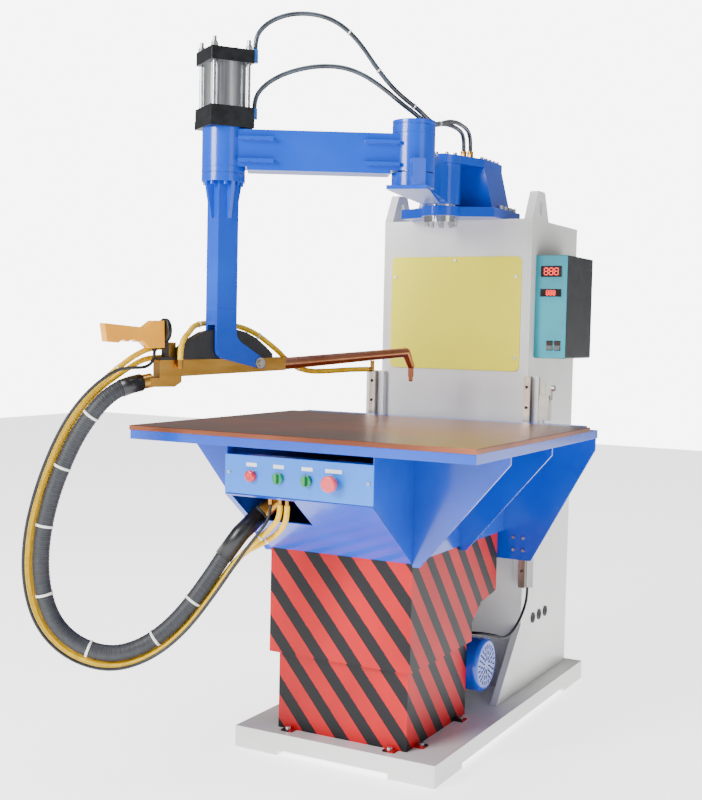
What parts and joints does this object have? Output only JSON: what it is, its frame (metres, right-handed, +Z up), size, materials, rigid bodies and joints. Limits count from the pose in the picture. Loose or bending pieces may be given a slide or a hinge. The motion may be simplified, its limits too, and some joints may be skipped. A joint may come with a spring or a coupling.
{
  "type": "spot welder",
  "caption": "Table spot welder: a floor column with a lifting copper-topped table, a folding two-link arm, and an air cylinder that presses a brass and copper electrode beam onto the work.",
  "frame": {"origin": "centre of the four anchor holes, in the plane of the feet", "axes": "+Z up, +X to the operator's right, -Y towards the operator"},
  "size_m": [1.0736, 1.653, 1.9262],
  "materials": {
    "blue_enamel": "gloss enamel on welded and machined steel",
    "azure_enamel": "gloss enamel on folded sheet steel",
    "white_enamel": "gloss enamel on welded steel",
    "yellow_enamel": "gloss enamel on sheet steel",
    "striped_guard": "sheet steel with red and black slanted stripes",
    "black_enamel": "satin black enamel",
    "control_face": "teal front sheet with dark displays",
    "bare_steel": "ground and machined steel",
    "cast_steel": "painted grey casting",
    "chrome": "hard chromed and polished",
    "zinc_bolts": "zinc plated fasteners",
    "aluminium": "anodised and brushed aluminium",
    "black_anodised": "black anodised aluminium",
    "brass": "satin machined brass",
    "copper": "rolled copper with a worn, warm brown surface",
    "orange_plastic": "moulded orange plastic",
    "black_plastic": "moulded black plastic",
    "blue_plastic": "blue push-in fitting",
    "green_plastic": "green selector with a white mark",
    "red_plastic": "moulded red plastic",
    "red_lens": "red lamp lens",
    "cream_plastic": "cream switch body",
    "cable_rubber": "dark grey woven and rubber cover",
    "yellow_hose": "yellow water hose",
    "blue_hose": "polyurethane air hose",
    "black_hose": "black rubber cable",
    "laminations": "stacked transformer sheets with taped windings"
  },
  "bodies": {
    "frame": {"base_frame": "white_enamel", "column_sides": "white_enamel", "column_plates": "white_enamel", "yellow_panel": "yellow_enamel", "rail_bars": "white_enamel", "linear_rails": "bare_steel", "limit_switch": "cream_plastic", "lower_guard": "striped_guard", "jack_housing": "cast_steel", "lift_motor": "blue_enamel", "control_box": "black_enamel", "control_face": "control_face", "head_bracket": "blue_enamel", "shoulder_shaft": "chrome", "frame_bolts": "zinc_bolts", "head_fittings": "brass", "motor_cable": "black_hose"},
    "switch_lever": {"switch_lever": "bare_steel"},
    "rocker_left": {"rocker_left": "black_plastic"},
    "rocker_right": {"rocker_right": "black_plastic"},
    "table": {"linear_blocks": "bare_steel", "back_plate": "blue_enamel", "table_frame": "blue_enamel", "copper_tops": "copper", "wings": "blue_enamel", "housing": "blue_enamel", "sloped_panel": "blue_enamel", "button_panel": "azure_enamel", "upper_guard": "striped_guard", "transformer": "laminations", "lift_screw": "bare_steel", "lower_terminal": "brass", "panel_lamp": "red_lens", "table_screws": "zinc_bolts"},
    "selector_left": {"selector_left": "green_plastic"},
    "selector_right": {"selector_right": "green_plastic"},
    "emergency_stop": {"emergency_stop": "red_plastic"},
    "link_1": {"link_1_arm": "blue_enamel", "elbow_pin": "chrome"},
    "link_2": {"link_2_arm": "blue_enamel", "cylinder_caps": "black_anodised", "cylinder_barrel": "aluminium", "tie_rods": "zinc_bolts", "cylinder_fittings": "blue_plastic", "air_hose_upper": "blue_hose", "air_hose_lower": "blue_hose"},
    "ram": {"ram": "chrome"},
    "post": {"post_column": "blue_enamel", "fork_plates": "blue_enamel", "pivot_pin": "bare_steel"},
    "beam": {"brass_bar": "brass", "copper_arm": "copper", "handle": "orange_plastic", "handle_mount": "black_plastic", "hose_saddle": "black_plastic", "jumper_hose": "yellow_hose", "main_cable": "cable_rubber", "supply_hose": "yellow_hose", "return_hose": "yellow_hose", "control_cable": "black_hose"}
  },
  "joints": [
    {"name": "table_lift", "type": "slide", "parent": "frame", "child": "table", "axis": [0, 0, 1], "range_m": [-0.09, 0.03], "deforming": ["main_cable", "supply_hose", "return_hose", "control_cable"]},
    {"name": "shoulder_swing", "type": "hinge", "parent": "frame", "child": "link_1", "pos_m": [0, 0.027, 1.55], "axis": [0, 0, 1], "range_deg": [-35, 35], "deforming": ["air_hose_upper", "air_hose_lower"]},
    {"name": "elbow_swing", "type": "hinge", "parent": "link_1", "child": "link_2", "pos_m": [0.12675, -0.43005, 1.57], "axis": [0, 0, 1], "range_deg": [-20, 21]},
    {"name": "ram_stroke", "type": "slide", "parent": "link_2", "child": "ram", "axis": [0, 0, 1], "range_m": [-0.065, 0]},
    {"name": "post_yaw", "type": "hinge", "parent": "ram", "child": "post", "pos_m": [-0.28619, -0.68113, 1.3], "axis": [0, 0, 1], "range_deg": [-40, 40]},
    {"name": "beam_tilt", "type": "hinge", "parent": "post", "child": "beam", "pos_m": [-0.2433, -0.59079, 1.034], "axis": [-0.9033, 0.4289, 0], "range_deg": [-2, 2], "deforming": ["jumper_hose"]},
    {"name": "selector_left_turn", "type": "hinge", "parent": "table", "child": "selector_left", "pos_m": [-0.052, -0.767, 0.762], "axis": [0, 1, 0], "range_deg": [-45, 45]},
    {"name": "selector_right_turn", "type": "hinge", "parent": "table", "child": "selector_right", "pos_m": [0.028, -0.767, 0.762], "axis": [0, 1, 0], "range_deg": [-45, 45]},
    {"name": "emergency_stop_press", "type": "slide", "parent": "table", "child": "emergency_stop", "axis": [0, 1, 0], "range_m": [0, 0.005], "stiffness_N_per_m": 900},
    {"name": "rocker_left_tip", "type": "hinge", "parent": "frame", "child": "rocker_left", "pos_m": [0.291, 0.182, 1.091], "axis": [1, 0, 0], "range_deg": [-6, 6]},
    {"name": "rocker_right_tip", "type": "hinge", "parent": "frame", "child": "rocker_right", "pos_m": [0.315, 0.182, 1.091], "axis": [1, 0, 0], "range_deg": [-6, 6]},
    {"name": "switch_lever_swing", "type": "hinge", "parent": "frame", "child": "switch_lever", "pos_m": [0.32, 0.109, 0.94], "axis": [1, 0, 0], "range_deg": [-45, 45], "stiffness_Nm_per_rad": 0.4}
  ]
}
